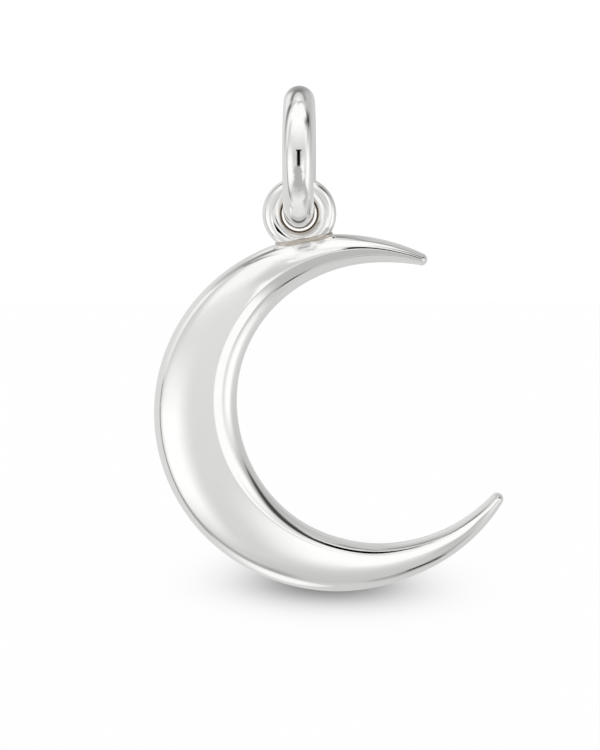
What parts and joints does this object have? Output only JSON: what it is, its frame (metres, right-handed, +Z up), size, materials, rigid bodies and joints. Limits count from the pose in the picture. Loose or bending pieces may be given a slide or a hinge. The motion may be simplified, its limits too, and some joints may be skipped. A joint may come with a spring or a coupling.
{
  "type": "crescent moon pendant",
  "caption": "Domed crescent moon pendant in polished silver, with a soldered loop that swings on a closed round-wire bail ring for a chain.",
  "frame": {"origin": "seat inside the top of the bail ring, where a chain bears", "axes": "+X runs to the right across the moon's face, +Y away from the viewer, from the domed front to the flat back, and +Z up"},
  "size_m": [0.0159, 0.0064, 0.023],
  "materials": {
    "polished_silver": "mirror polished sterling silver, with fine handling scratches"
  },
  "bodies": {
    "bail": {"bail_ring": "polished_silver"},
    "pendant": {"moon": "polished_silver"}
  },
  "joints": [
    {"name": "moon_swing", "type": "hinge", "parent": "bail", "child": "pendant", "pos_m": [0, 0, -0.0044], "axis": [0, 1, 0], "range_deg": [-97, 118]}
  ]
}
